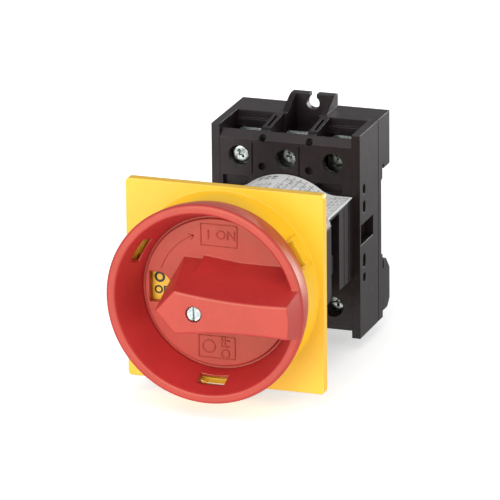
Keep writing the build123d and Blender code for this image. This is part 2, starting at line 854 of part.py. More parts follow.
def make_handle():
    """Red handle: dished rim, bowl floor, grip bar and the hub through the door."""
    shell = turned(
        (0, disc_back),
        (groove_inner, disc_back),
        (groove_inner, groove_bottom),
        (groove_outer, groove_bottom),
        (groove_outer, skirt_rear),
        (skirt_radius, skirt_rear),
        (skirt_radius + 1.3, rim_front + 5.5),
        (rim_radius - 0.05, rim_front + 1.0),
        (rim_radius - 0.35, rim_front + 0.3),
        (rim_radius - 0.9, rim_front),
        (rim_inner_radius + 0.5, rim_front),
        (rim_inner_radius + 0.12, rim_front + 0.25),
        (rim_inner_radius - 0.2, rim_front + 0.9),
        (bowl_floor_radius, disc_front),
        (bowl_floor_radius, disc_front + bowl_groove_depth),
        (bowl_disc_radius, disc_front + bowl_groove_depth),
        (bowl_disc_radius, disc_front + 0.3),
        (bowl_disc_radius - 0.3, disc_front),
        (0, disc_front),
    )
    shell -= pointer_window()
    for angle in padlock_angles:
        shell -= padlock_window(angle)
    handle = shell + make_grip()
    handle += rod(hub_radius, disc_back - 0.1, hub_back)
    handle -= rod(handle_screw_head / 2 + 0.35, grip_front - 1, screw_seat)
    handle -= rod(handle_screw_shank / 2 + 0.1, grip_front, shaft_front)
    handle -= square_hole(shaft_front, hub_back + 1)
    handle -= ring(hub_radius + 1, clip_inner, clip_front, clip_front + clip_thickness)
    seal_y = (seal_middle - seal_groove_half, seal_middle + seal_groove_half)
    handle -= ring(hub_radius + 1, seal_groove_radius, *seal_y)
    return handle


def make_hub_clip():
    """Spring ring that keeps the hub in the plate."""
    clip = ring(hub_radius + 2.0, clip_inner, clip_front, clip_front + clip_thickness)
    return clip - block(-2.2, 2.2, clip_front - 1, clip_front + 2, 0, 20)


def make_hub_seal():
    """O-ring in the hub's groove."""
    return Pos(0, seal_middle, 0) * Rot(90, 0, 0) * Torus(seal_radius, seal_cord_radius)


def make_screw_washer():
    return ring(handle_screw_head / 2 + 0.15, handle_screw_shank / 2 + 0.05, screw_seat - 0.4, screw_seat)


def make_handle_screw():
    """Slotted screw down the middle of the grip into the shaft."""
    seat = screw_seat - 0.4
    head_front = seat - 1.7
    head = rod(handle_screw_head / 2, head_front, seat)
    shank = rod(handle_screw_shank / 2, seat, shaft_front + 6)
    slot = block(-0.35, 0.35, head_front - 1, head_front + 0.8, -4, 4)
    return head + shank - slot


# ---------------------------------------------------------------- write the pieces
def solids_of(piece):
    """Every separate solid of a piece or a list of pieces."""
    pieces = piece if isinstance(piece, list) else [piece]
    return [solid for item in pieces for solid in item.solids()]


def write(name, piece):
    solids = solids_of(piece)
    shape = solids[0] if len(solids) == 1 else Compound(children=solids)
    export_step(shape, f"parts/{name}.step")


def main():
    os.makedirs("parts", exist_ok=True)
    side_cover = make_side_cover()
    pieces = {
        "rear_base": make_rear_base(),
        "terminal_housing": make_terminal_housing(),
        "side_cover_right": side_cover,
        "side_cover_left": mirror(side_cover, Plane.YZ),
        "line_clamps": make_clamps(1),
        "load_clamps": make_clamps(-1),
        "line_clamp_screws": make_terminal_screws(1),
        "load_clamp_screws": make_terminal_screws(-1),
        "line_fixed_contacts": make_fixed_contacts(1),
        "load_fixed_contacts": make_fixed_contacts(-1),
        "fixed_contact_tips": make_fixed_tips(),
        "contact_carrier": make_contact_carrier(),
        "contact_bridges": make_bridges(),
        "bridge_tips": make_bridge_tips(),
        "contact_springs": make_contact_springs(),
        "cam_rotor": make_cam_rotor(),
        "drive_shaft": make_shaft(),
        "shaft_coupler": make_shaft_coupler(),
        "detent_wheel": make_detent_wheel(),
        "detent_springs": make_detent_springs(),
        "rotor_circlip": make_rotor_circlip(),
        "mechanism_housing": make_mechanism_housing(),
        "circuit_label": make_circuit_label(),
        "mechanism_cover": make_mechanism_cover(),
        "cover_screws": make_cover_screws(),
        "rotor_bush": make_rotor_bush(),
        "case_rivets": make_case_rivets(),
        "front_plate": make_front_plate(),
        "plate_seal": make_plate_seal(),
        "door_clamp_frame": make_door_frame(),
        "plate_screws": make_plate_screws(),
        "handle": make_handle(),
        "hub_clip": make_hub_clip(),
        "hub_seal": make_hub_seal(),
        "handle_screw": make_handle_screw(),
        "screw_washer": make_screw_washer(),
        "rail_latch": make_rail_latch(),
        "latch_springs": make_latch_springs(),
        "latch_rivets": make_latch_rivets(),
    }
    for name, piece in pieces.items():
        write(name, piece)
    print(len(pieces), "pieces written")


main()
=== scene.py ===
# %% [markdown]
# # A rotary isolator switch
# This lesson dresses a finished mechanical model of a panel switch: a dark moulded switch
# body that snaps on a rail, a domed mechanism with a printed label, a yellow door plate and
# a red handle. The frame below is the measured model. Its pieces are never moved: they are
# given finishes, or a finer copy stands in for them. All lengths are in metres, so the
# constant MM turns millimetres into them.

# %% Load the frame
import json
from math import cos, pi, radians, sin

import bmesh
import bpy
from mathutils import Matrix, Vector


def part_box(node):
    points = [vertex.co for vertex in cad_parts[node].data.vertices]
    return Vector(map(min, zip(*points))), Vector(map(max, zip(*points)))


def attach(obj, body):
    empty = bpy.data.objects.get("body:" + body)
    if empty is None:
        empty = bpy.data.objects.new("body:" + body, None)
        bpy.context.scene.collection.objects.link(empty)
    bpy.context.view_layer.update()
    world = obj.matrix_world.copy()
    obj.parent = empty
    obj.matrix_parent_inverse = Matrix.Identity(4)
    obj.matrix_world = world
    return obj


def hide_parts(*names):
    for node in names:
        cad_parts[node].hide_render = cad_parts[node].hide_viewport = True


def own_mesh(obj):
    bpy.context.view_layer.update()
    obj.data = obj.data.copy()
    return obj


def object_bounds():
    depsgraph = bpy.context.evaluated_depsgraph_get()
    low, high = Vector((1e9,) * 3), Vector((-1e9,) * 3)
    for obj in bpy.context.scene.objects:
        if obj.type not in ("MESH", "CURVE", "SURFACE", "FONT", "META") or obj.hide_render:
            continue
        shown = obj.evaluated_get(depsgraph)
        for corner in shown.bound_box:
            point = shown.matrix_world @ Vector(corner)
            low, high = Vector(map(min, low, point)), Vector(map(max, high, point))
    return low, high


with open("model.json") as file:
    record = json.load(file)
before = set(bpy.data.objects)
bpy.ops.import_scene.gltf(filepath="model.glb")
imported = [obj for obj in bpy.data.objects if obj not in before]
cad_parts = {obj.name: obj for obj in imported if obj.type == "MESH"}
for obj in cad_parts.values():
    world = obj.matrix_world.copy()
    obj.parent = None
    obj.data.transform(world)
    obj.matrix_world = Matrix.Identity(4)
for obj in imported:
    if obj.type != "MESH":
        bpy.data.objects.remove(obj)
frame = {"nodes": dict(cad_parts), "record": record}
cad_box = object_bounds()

MM = 0.001
nodes = frame["nodes"]
slot_of = {part["node"]: part["material_slot"] for part in frame["record"]["subparts"]}
print("overall box in mm:", [round(v / MM, 1) for corner in cad_box for v in corner])

# %% [markdown]
# ## Maths on sockets
# Node graphs are easiest to read as formulas. The class Value wraps one output socket, so
# that `tone * 0.2 + 0.8` adds the two Math nodes for us, and its reflected forms let a
# plain number stand first, as in `1 - mask`. Everything that isn't arithmetic goes through
# one method, `node`, which takes the settings first and the socket values second. Shader
# graphs and geometry graphs share both.

# %% Graphs and values
class Value:
    """One number on an output socket, with arithmetic."""

    def __init__(self, graph, socket):
        self.graph = graph
        self.socket = socket

    def combine(self, operation, first, second):
        made = self.graph.node("ShaderNodeMath", {"operation": operation}, {0: first, 1: second})
        return Value(self.graph, made.outputs[0])

    def __add__(self, other):
        return self.combine("ADD", self, other)

    def __radd__(self, other):
        return self.combine("ADD", other, self)

    def __sub__(self, other):
        return self.combine("SUBTRACT", self, other)

    def __rsub__(self, other):
        return self.combine("SUBTRACT", other, self)

    def __mul__(self, other):
        return self.combine("MULTIPLY", self, other)

    def __rmul__(self, other):
        return self.combine("MULTIPLY", other, self)


class Graph:
    """A node tree under construction."""

    def __init__(self, tree):
        self.tree = tree

    def node(self, kind, settings=None, values=None):
        made = self.tree.nodes.new(kind)
        for key, setting in (settings or {}).items():
            setattr(made, key, setting)
        for key, value in (values or {}).items():
            self.feed(made.inputs[key], value)
        return made

    def feed(self, socket, value):
        if isinstance(value, Value):
            value = value.socket
        if isinstance(value, bpy.types.NodeSocket):
            self.tree.links.new(value, socket)
        else:
            socket.default_value = value


# %% [markdown]
# ## A finish
# Every material here is one Principled shader. What changes over a surface comes from
# noise fields on Object coordinates, so a pattern stays on the piece and has its true size
# wherever the piece goes. Constants are set on the shader's own sockets.

# %% The Finish class
class Finish(Graph):
    """A material with one Principled shader."""

    def __init__(self, name):
        self.material = bpy.data.materials.new(name)
        self.material.use_nodes = True
        super().__init__(self.material.node_tree)
        self.tree.nodes.clear()
        output = self.node("ShaderNodeOutputMaterial")
        self.shader = self.node("ShaderNodeBsdfPrincipled")
        self.tree.links.new(self.shader.outputs[0], output.inputs[0])
        self.place = self.node("ShaderNodeTexCoord").outputs["Object"]

    def noise(self, size_mm, detail=2.0, roughness=0.5):
        """Soft random field whose blotches are about size_mm across."""
        values = {"Vector": self.place, "Scale": 1.0 / (size_mm * MM), "Detail": detail}
        made = self.node("ShaderNodeTexNoise", {}, {**values, "Roughness": roughness})
        return Value(self, made.outputs[0])

    def ramp(self, value, low, high):
        """0 below low, 1 above high, smooth between."""
        limits = {"Value": value, "From Min": low, "From Max": high}
        made = self.node("ShaderNodeMapRange", {"interpolation_type": "SMOOTHSTEP"}, limits)
        return Value(self, made.outputs[0])

    def blend(self, amount, first, second):
        """Mix of two colours."""
        made = self.node("ShaderNodeMix", {"data_type": "RGBA"}, {0: amount})
        for index, colour in ((6, first), (7, second)):
            self.feed(made.inputs[index], (*colour, 1.0) if isinstance(colour, tuple) else colour)
        return made.outputs[2]

    def bump(self, height, depth_mm, edge_mm):
        """Relief of a height field, on top of edges that look rolled to edge_mm."""
        rolled = self.node("ShaderNodeBevel", {"samples": 6}, {"Radius": edge_mm * MM})
        values = {"Height": height, "Distance": depth_mm * MM, "Normal": rolled.outputs[0]}
        made = self.node("ShaderNodeBump", {}, values)
        self.feed(self.shader.inputs["Normal"], made.outputs[0])

    def set(self, **values):
        for key, value in values.items():
            self.feed(self.shader.inputs[key.replace("_", " ")], value)


finishes = {}

# %% [markdown]
# ## Moulded plastics
# Housings, plate and handle are injection moulded. Such a surface is never one colour: the
# tone drifts where the melt cooled, a fine spark-eroded grain scatters the light, and
# handling leaves duller and shinier patches. One recipe serves them all, because only the
# colours, the grain and the gloss differ.

# %% The recipe for a moulded plastic
def moulded(name, colour, shade, grain, rough, scuffs, specular, edge_mm, sheen=(1.0, 1.0, 1.0)):
    """A moulded plastic; grain is the size and the depth of its texture in mm."""
    made = Finish(name)
    grain_mm, grain_depth = grain
    drift = made.noise(size_mm=14.0, detail=3.0)
    mottle = made.noise(size_mm=2.2, detail=4.0)
    tone = made.blend(made.ramp(drift * 0.6 + mottle * 0.4, 0.36, 0.66), shade, colour)
    marks = made.ramp(made.noise(size_mm=0.8, detail=6.0, roughness=0.7), 0.60, 0.80)
    rubbed = tuple(min(1.0, part * 1.2 + 0.015) for part in colour)
    made.set(Base_Color=made.blend(marks * scuffs, tone, rubbed))
    patchy = made.noise(size_mm=5.0, detail=3.0)
    made.set(Roughness=patchy * 0.12 + marks * 0.06 + (rough - 0.06))
    made.set(Specular_IOR_Level=specular, Specular_Tint=(*sheen, 1.0))
    texture = made.noise(grain_mm) + made.noise(grain_mm * 4.0) * 0.6
    made.bump(texture, grain_depth, edge_mm)
    return made.material


finishes["dark_moulding"] = moulded(
    "Dark moulding", (0.016, 0.0098, 0.0108), (0.008, 0.0052, 0.0058), grain=(0.25, 0.010),
    rough=0.37, scuffs=0.40, specular=0.36, edge_mm=0.3, sheen=(1.0, 0.93, 0.95))
finishes["black_plastic"] = moulded(
    "Black plastic", (0.010, 0.009, 0.010), (0.006, 0.006, 0.007), grain=(0.30, 0.010),
    rough=0.36, scuffs=0.25, specular=0.42, edge_mm=0.3)
finishes["yellow_plastic"] = moulded(
    "Signal yellow plastic", (0.90, 0.535, 0.012), (0.87, 0.505, 0.009), grain=(0.35, 0.004),
    rough=0.42, scuffs=0.10, specular=0.9, edge_mm=0.5)
finishes["red_plastic"] = moulded(
    "Signal red plastic", (0.50, 0.022, 0.026), (0.45, 0.017, 0.023), grain=(0.30, 0.005),
    rough=0.46, scuffs=0.10, specular=1.0, edge_mm=0.5, sheen=(0.85, 1.0, 0.65))
print("plastics:", sorted(finishes))

# %% [markdown]
# ## Metals, rubber, label film and ink
# Zinc plating is bright but clouded, with a cool tinge from its passivation. Spring steel
# is darker, copper warmer, and the silver tips are nearly white. Each stays fully metallic
# and only its tone and roughness drift. The seals are dull rubber, and the label is a
# white film that shows a little grey where the print is dense.

# %% Metals and the rest
def metal(name, bright, dull, rough, cloud_mm):
    """A bare or plated metal, clouded between two tones."""
    made = Finish(name)
    cloud = made.ramp(made.noise(cloud_mm, detail=4.0), 0.38, 0.66)
    made.set(Base_Color=made.blend(cloud, dull, bright), Metallic=1.0)
    made.set(Roughness=made.noise(size_mm=0.8, detail=3.0) * 0.16 + (rough - 0.08))
    scratches = made.noise(size_mm=0.10, detail=3.0, roughness=0.7)
    made.bump(scratches, depth_mm=0.0025, edge_mm=0.15)
    return made.material


def dull_film(name, colour, shade, blotch_mm, rough, relief_mm):
    """Rubber, paper or ink: two close tones in soft blotches."""
    made = Finish(name)
    bloom = made.ramp(made.noise(blotch_mm, detail=5.0, roughness=0.6), 0.42, 0.74)
    made.set(Base_Color=made.blend(bloom, colour, shade))
    made.set(Roughness=made.noise(blotch_mm * 0.5) * 0.16 + (rough - 0.08))
    made.bump(made.noise(size_mm=0.3), relief_mm, edge_mm=0.1)
    return made.material


finishes["zinc_steel"] = metal(
    "Zinc plated steel", (0.66, 0.73, 0.71), (0.42, 0.47, 0.46), rough=0.38, cloud_mm=0.9)
finishes["spring_steel"] = metal(
    "Spring steel", (0.50, 0.50, 0.51), (0.30, 0.30, 0.31), rough=0.32, cloud_mm=1.5)
finishes["copper"] = metal(
    "Bare copper", (0.78, 0.42, 0.27), (0.50, 0.25, 0.16), rough=0.32, cloud_mm=2.0)
finishes["tinned_copper"] = metal(
    "Tinned copper", (0.88, 0.87, 0.84), (0.62, 0.58, 0.53), rough=0.36, cloud_mm=1.2)
finishes["silver"] = metal(
    "Silver tips", (0.90, 0.89, 0.86), (0.72, 0.71, 0.69), rough=0.26, cloud_mm=0.8)
finishes["seal_rubber"] = dull_film(
    "Seal rubber", (0.016, 0.016, 0.016), (0.045, 0.045, 0.043),
    blotch_mm=1.5, rough=0.66, relief_mm=0.01)
finishes["label_paper"] = dull_film(
    "Label film", (0.98, 0.99, 0.98), (0.94, 0.95, 0.96),
    blotch_mm=2.0, rough=0.34, relief_mm=0.004)
black_ink = dull_film(
    "Black ink", (0.012, 0.010, 0.009), (0.03, 0.027, 0.025),
    blotch_mm=0.6, rough=0.42, relief_mm=0.003)
label_ink = dull_film(
    "Blue-grey ink", (0.008, 0.008, 0.012), (0.03, 0.032, 0.04),
    blotch_mm=1.2, rough=0.45, relief_mm=0.003)
print("finishes:", sorted(finishes), "and two inks")

# %% [markdown]
# ## A finish on every piece of the frame
# The record names a material slot for each piece, and every piece gets the finish of its
# slot, the hidden ones too, so that an opened switch also looks right. The fixed contacts
# are copper inside, but tinned, so they show pale metal in the cable mouths.

# %% Assign the finishes
tinned = ("line_fixed_contacts", "load_fixed_contacts")
for name, piece in nodes.items():
    piece.data.materials.clear()
    piece.data.materials.append(finishes["tinned_copper" if name in tinned else slot_of[name]])
print("dressed", len(nodes), "frame pieces")

# %% [markdown]
# ## Helpers for new pieces
# A new piece is a mesh whose place is in its points, linked as an object at the origin.
# `keep` links it, hangs it on the empty of the body that carries it, and hides the frame
# pieces that it stands for. `plain_mesh` turns an object with live modifiers into the mesh that they
# make.

# %% Make, keep and flatten pieces
def link(name, mesh):
    piece = bpy.data.objects.new(name, mesh)
    bpy.context.scene.collection.objects.link(piece)
    return piece


def keep(name, mesh, body, slot, replaced=(), material=None):
    """Link a finished mesh as a piece that rides on a body."""
    piece = link(name, mesh)
    mesh.materials.clear()
    mesh.materials.append(material or finishes[slot])
    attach(piece, body)
    if replaced:
        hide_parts(*replaced)
    print(name, "-", len(mesh.polygons), "faces on", body)
    return piece


def plain_mesh(source, name):
    """The evaluated shape of an object as a mesh of its own; the object goes."""
    graph = bpy.context.evaluated_depsgraph_get()
    mesh = bpy.data.meshes.new_from_object(source.evaluated_get(graph))
    mesh.name = name
    bpy.data.objects.remove(source)
    return mesh


def joined(name, meshes):
    """Several meshes as one."""
    work = bmesh.new()
    for mesh in meshes:
        work.from_mesh(mesh)
    whole = bpy.data.meshes.new(name)
    work.to_mesh(whole)
    work.free()
    return whole


# %% [markdown]
# ## Geometry Nodes for what repeats
# Screws, spring coils and rows of print all repeat a small shape by a rule. A Recipe is a
# geometry graph with named inputs. It runs on a mesh of points as a modifier whose inputs
# are set by their identifiers, and its result is kept as a plain mesh.

# %% The Recipe class
class Recipe(Graph):
    """Geometry graph with named inputs that ends in realised, finished geometry."""

    def __init__(self, name, material, **inputs):
        super().__init__(bpy.data.node_groups.new(name, "GeometryNodeTree"))
        face = self.tree.interface
        face.new_socket("Geometry", in_out="INPUT", socket_type="NodeSocketGeometry")
        face.new_socket("Geometry", in_out="OUTPUT", socket_type="NodeSocketGeometry")
        for label, kind in inputs.items():
            face.new_socket(label, in_out="INPUT", socket_type="NodeSocket" + kind)
        self.start = self.node("NodeGroupInput")
        self.material = material

    def given(self, label):
        return self.start.outputs[label]

    def end(self, geometry):
        whole = self.node("GeometryNodeRealizeInstances", {}, {0: geometry})
        values = {"Geometry": whole.outputs[0], "Material": self.material}
        finished = self.node("GeometryNodeSetMaterial", {}, values)
        self.node("NodeGroupOutput", {}, {0: finished.outputs[0]})

    def run(self, name, points, **values):
        """Apply the recipe to a mesh of points and keep the mesh that it makes."""
        mesh = bpy.data.meshes.new(name + "_points")
        mesh.from_pydata([tuple(point) for point in points], [], [])
        source = link(name, mesh)
        modifier = source.modifiers.new(name, "NODES")
        modifier.node_group = self.tree
        for item in self.tree.interface.items_tree:
            if item.in_out == "INPUT" and item.name in values:
                modifier[item.identifier] = values[item.name]
        return plain_mesh(source, name)


# %% [markdown]
# ## Terminal screws
# Each pole has a zinc-plated clamp screw at both ends, deep in its driver hole. The head
# has a cross with a slot through it. One head is turned from a profile and cut with
# Boolean modifiers. The recipe then puts a copy in front of each screw of the frame and
# turns each by its own random angle from a fixed seed, as screws are left in real use.

# %% Turn and cut one screw
SAME_POINT = 0.002 * MM


def turned(name, profile, steps=40):
    """Mesh of a closed (radius, y) profile turned about the Y axis."""
    rings = []
    work = bmesh.new()
    for radius, y in profile:
        if radius == 0:
            rings.append([work.verts.new((0.0, y * MM, 0.0))] * steps)
            continue
        ring = []
        for step in range(steps):
            angle = 2 * pi * step / steps
            place = (radius * MM * cos(angle), y * MM, radius * MM * sin(angle))
            ring.append(work.verts.new(place))
        rings.append(ring)
    for first, second in zip(rings, rings[1:]):
        for step in range(steps):
            after = (step + 1) % steps
            corners = []
            for corner in (first[step], first[after], second[after], second[step]):
                if corner not in corners:
                    corners.append(corner)
            work.faces.new(corners)
    bmesh.ops.recalc_face_normals(work, faces=work.faces)
    mesh = bpy.data.meshes.new(name)
    work.to_mesh(mesh)
    work.free()
    return mesh


def bar_mesh(low, high, taper=1.0):
    """Box between two corners in mm, narrowed towards +Y by taper."""
    work = bmesh.new()
    bmesh.ops.create_cube(work, size=1.0)
    for vert in work.verts:
        scale = taper if vert.co.y > 0 else 1.0
        for axis in range(3):
            middle, size = (low[axis] + high[axis]) / 2, high[axis] - low[axis]
            part = vert.co[axis] * (scale if axis != 1 else 1.0)
            vert.co[axis] = (middle + part * size) * MM
    mesh = bpy.data.meshes.new("bar")
    work.to_mesh(mesh)
    work.free()
    return mesh


def cut(mesh, tools):
    """Mesh with other meshes cut out of it."""
    body = link("body", mesh)
    cutters = [link("cutter", tool) for tool in tools]
    for cutter in cutters:
        boolean = body.modifiers.new("Cut", "BOOLEAN")
        boolean.operation = "DIFFERENCE"
        boolean.solver = "EXACT"
        boolean.object = cutter
    result = plain_mesh(body, "cut")
    for cutter in cutters:
        bpy.data.objects.remove(cutter)
    return result


head_profile = [
    (0.0, 0.10), (1.6, 0.06), (2.3, 0.0), (2.7, 0.10), (2.92, 0.32), (3.0, 0.60),
    (3.0, 1.45), (2.8, 1.7), (1.9, 1.7), (1.9, 4.7), (1.6, 4.9), (0.0, 4.9),
]
slot_tool = bar_mesh((-3.5, -0.5, -0.42), (3.5, 0.62, 0.42))
cross_tools = [
    bar_mesh((-1.75, -0.5, -0.5), (1.75, 1.35, 0.5), 0.55),
    bar_mesh((-0.5, -0.5, -1.75), (0.5, 1.35, 1.75), 0.55),
]
screw_mesh = cut(turned("clamp_screw", head_profile), [slot_tool, *cross_tools])
screw_mesh.shade_smooth()
screw_mesh.set_sharp_from_angle(angle=radians(35))
print("screw head:", len(screw_mesh.polygons), "faces")

# %% Put a screw in each driver hole
def places_of(node):
    """For each solid of a frame piece, the middle of its front."""
    work = bmesh.new()
    work.from_mesh(nodes[node].data)
    bmesh.ops.remove_doubles(work, verts=work.verts, dist=SAME_POINT)
    waiting = set(work.verts)
    found = []
    while waiting:
        group, edge_of_group = set(), [waiting.pop()]
        while edge_of_group:
            vert = edge_of_group.pop()
            group.add(vert)
            near = {edge.other_vert(vert) for edge in vert.link_edges} & waiting
            waiting -= near
            edge_of_group.extend(near)
        low = [min(vert.co[axis] for vert in group) for axis in range(3)]
        high = [max(vert.co[axis] for vert in group) for axis in range(3)]
        found.append(Vector(((low[0] + high[0]) / 2, low[1], (low[2] + high[2]) / 2)))
    work.free()
    return sorted(found, key=lambda place: place.x)


def screw_recipe():
    made = Recipe("Turned copies", finishes["zinc_steel"], Shape="Object", Seed="Int")
    shape = made.node("GeometryNodeObjectInfo", {}, {"Object": made.given("Shape")})
    whole_turn = {2: 0.0, 3: 2 * pi, "Seed": made.given("Seed")}
    angle = made.node("FunctionNodeRandomValue", {"data_type": "FLOAT"}, whole_turn)
    turn = made.node("ShaderNodeCombineXYZ", {}, {"Y": angle.outputs[1]})
    values = {"Points": made.given("Geometry"), "Instance": shape.outputs["Geometry"]}
    values["Rotation"] = turn.outputs[0]
    made.end(made.node("GeometryNodeInstanceOnPoints", {}, values).outputs[0])
    return made


turned_copies = screw_recipe()
template = link("screw_template", screw_mesh)
for node, seed in (("line_clamp_screws", 3), ("load_clamp_screws", 8)):
    screws = turned_copies.run(node, places_of(node), Shape=template, Seed=seed)
    keep(node + "_fine", screws, "root", "zinc_steel", (node,))
bpy.data.objects.remove(template)

# %% [markdown]
# ## Latch springs
# The rail latch is held up by two small compression springs. In the frame each is a plain
# sleeve that shows the space of its coils. The recipe winds a spiral, sweeps a round wire
# along it, and stands one on each seat.

# %% Wind the springs
def spring_recipe():
    names = {"Turns": "Float", "Radius": "Float", "Wire": "Float", "Length": "Float"}
    made = Recipe("Coil springs", finishes["spring_steel"], **names)
    radius = made.given("Radius")
    values = {"Resolution": 20, "Rotations": made.given("Turns"), "Start Radius": radius}
    values.update({"End Radius": radius, "Height": made.given("Length")})
    spiral = made.node("GeometryNodeCurveSpiral", {}, values)
    values = {"Resolution": 8, "Radius": made.given("Wire")}
    wire = made.node("GeometryNodeCurvePrimitiveCircle", {}, values)
    values = {"Curve": spiral.outputs[0], "Profile Curve": wire.outputs[0], "Fill Caps": True}
    coil = made.node("GeometryNodeCurveToMesh", {}, values)
    values = {"Points": made.given("Geometry"), "Instance": coil.outputs[0]}
    made.end(made.node("GeometryNodeInstanceOnPoints", {}, values).outputs[0])
    return made


low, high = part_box("latch_springs")
wire = 0.26 * MM
clear_of_sleeve = 1.05
spring_radius = (high[1] - low[1]) / 2
length = high[2] - low[2]
middles = (low[0] + spring_radius, high[0] - spring_radius)
seats = [(x, (low[1] + high[1]) / 2, low[2] + wire) for x in middles]
sizes = {"Turns": 6.0, "Radius": spring_radius - wire * clear_of_sleeve}
sizes.update({"Wire": wire, "Length": length - 2 * wire})
coils = spring_recipe().run("latch_coils", seats, **sizes)
coils.shade_smooth()
springs = keep("latch_coils", coils, "root", "spring_steel", ("latch_springs",))
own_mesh(springs)

# %% [markdown]
# ## Print on the label
# The label wraps over the domed top of the mechanism and is packed with small technical
# print: lines of text, tables and contact diagrams. No words are needed at this size, only
# their rhythm. The recipe lays a grid of little ink strips, drops some at random, gives each
# its own length, and then lets every corner fall straight down on the label's surface.

# %% Rows of small print
def print_recipe():
    names = {"Film": "Object", "Across": "Float", "Along": "Float", "Thick": "Float"}
    made = Recipe("Small print", label_ink, **names, Spread="Float", Seed="Int")
    spread_to_one = {2: made.given("Spread"), 3: 1.0, "Seed": made.given("Seed")}
    stretch = made.node("FunctionNodeRandomValue", {"data_type": "FLOAT"}, spread_to_one)
    size = {"X": made.given("Across"), "Y": made.given("Along")}
    strip = made.node("ShaderNodeCombineXYZ", {}, size)
    values = {"Size X": 1.0, "Size Y": 1.0, "Vertices X": 5, "Vertices Y": 3}
    quad = made.node("GeometryNodeMeshGrid", {}, values)
    values = {0: strip.outputs[0], "Scale": stretch.outputs[1]}
    scaled = made.node("ShaderNodeVectorMath", {"operation": "SCALE"}, values)
    values = {"Points": made.given("Geometry"), "Instance": quad.outputs[0]}
    values["Scale"] = scaled.outputs[0]
    strips = made.node("GeometryNodeInstanceOnPoints", {}, values)
    real = made.node("GeometryNodeRealizeInstances", {}, {0: strips.outputs[0]})
    film = made.node("GeometryNodeObjectInfo", {}, {"Object": made.given("Film")})
    values = {"Target Geometry": film.outputs["Geometry"]}
    values.update({"Ray Direction": (0.0, 0.0, -1.0), "Ray Length": 0.1})
    ray = made.node("GeometryNodeRaycast", {}, values)
    values = {0: ray.outputs["Hit Normal"], "Scale": made.given("Thick")}
    lift = made.node("ShaderNodeVectorMath", {"operation": "SCALE"}, values)
    values = {0: ray.outputs["Hit Position"], 1: lift.outputs[0]}
    landed = made.node("ShaderNodeVectorMath", {"operation": "ADD"}, values)
    values = {"Geometry": real.outputs[0], "Position": landed.outputs[0]}
    made.end(made.node("GeometryNodeSetPosition", {}, values).outputs[0])
    return made


low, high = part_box("circuit_label")
front = low[1]
above = high[2] + 5 * MM


def grid_points(area, pitch, skip):
    """Evenly spaced points over part of the label; every skip-th is left out."""
    x0, x1 = area[0] * MM, area[1] * MM
    y0, y1 = front + area[2] * MM, front + area[3] * MM
    step_x, step_y = pitch[0] * MM, pitch[1] * MM
    points = []
    for i in range(int((x1 - x0) / step_x)):
        for j in range(int((y1 - y0) / step_y)):
            if (i * 7 + j * 5) % skip:
                points.append((x0 + (i + 0.5) * step_x, y0 + (j + 0.5) * step_y, above))
    return points


# Each block has its area (left, right, front, back), the pitch of its strips across and
# along, how often one is left out, the size of a strip, and the least stretch it can get.
blocks = [
    ("text_left", (-18.0, -9.0, 1.6, 22.4), (1.3, 0.85), 4, (1.15, 0.34), 0.35),
    ("text_middle", (-8.0, 1.0, 1.6, 15.0), (1.5, 0.8), 5, (1.3, 0.3), 0.4),
    ("table_rules", (2.0, 12.0, 1.6, 22.4), (2.0, 1.5), 9, (1.9, 0.16), 0.9),
    ("table_figures", (2.0, 12.0, 2.2, 22.4), (1.0, 1.5), 3, (0.7, 0.45), 0.3),
    ("text_right", (13.0, 21.5, 1.6, 22.4), (1.4, 0.9), 4, (1.2, 0.32), 0.35),
    ("heading", (-8.0, 1.0, 16.4, 22.4), (2.3, 2.0), 7, (1.9, 1.0), 0.5),
]
small_print = print_recipe()
patches = []
for number, (name, area, pitch, skip, (across, along), spread) in enumerate(blocks):
    sizes = {"Across": across * MM, "Along": along * MM, "Thick": 0.015 * MM}
    sizes.update({"Spread": spread, "Seed": number})
    points = grid_points(area, pitch, skip)
    patches.append(small_print.run(name, points, Film=nodes["circuit_label"], **sizes))
print("blocks of print:", len(patches))

# %% Ruled lines of the tables
DASH = 0.8 * MM


def ruled_points(x0, x1, y0, y1, lines):
    """Points along the upright lines of one table."""
    dashes = range(int((y1 - y0) / DASH))
    points = []
    for line in range(lines):
        x = x0 + (x1 - x0) * line / (lines - 1)
        points += [(x, y0 + DASH * (dash + 0.5), above) for dash in dashes]
    return points


# Each table has its left, right, front and back, and its number of lines.
tables = [
    (2.0, 12.0, 1.2, 22.8, 6), (-8.4, 1.2, 1.2, 15.4, 2),
    (-18.6, -9.0, 1.2, 22.8, 2), (13.0, 21.6, 1.2, 22.8, 2),
]
for number, (x0, x1, y0, y1, lines) in enumerate(tables):
    points = ruled_points(x0 * MM, x1 * MM, front + y0 * MM, front + y1 * MM, lines)
    sizes = {"Across": 0.14 * MM, "Along": DASH, "Thick": 0.012 * MM}
    sizes.update({"Spread": 0.99, "Seed": number})
    patches.append(small_print.run("ruled", points, Film=nodes["circuit_label"], **sizes))
keep("label_print", joined("label_print", patches), "root", "label_paper", material=label_ink)

# %% [markdown]
# ## Lettering
# The positions are marked with the usual generic signs: a bar and ON, a ring and OFF. On
# the handle they are raised in the same red plastic, each in a thin frame with an arrow
# that shows which way to turn. On the yellow floor below they are printed in black, and a
# window in the handle shows the one that holds. Text starts as a font curve and is made a
# mesh before it is placed.

# %% Make signs
CAPITAL_SHARE = 0.69  # how much of the font's size a capital letter fills


def upright(mesh, x, z, y, turn_deg=0.0):
    """Stand a flat mesh up facing -Y, turned in its plane, and move it to a place in mm."""
    facing = Matrix.Rotation(radians(90), 4, "X") @ Matrix.Rotation(radians(turn_deg), 4, "Z")
    mesh.transform(Matrix.Translation((x * MM, y, z * MM)) @ facing)
    return mesh


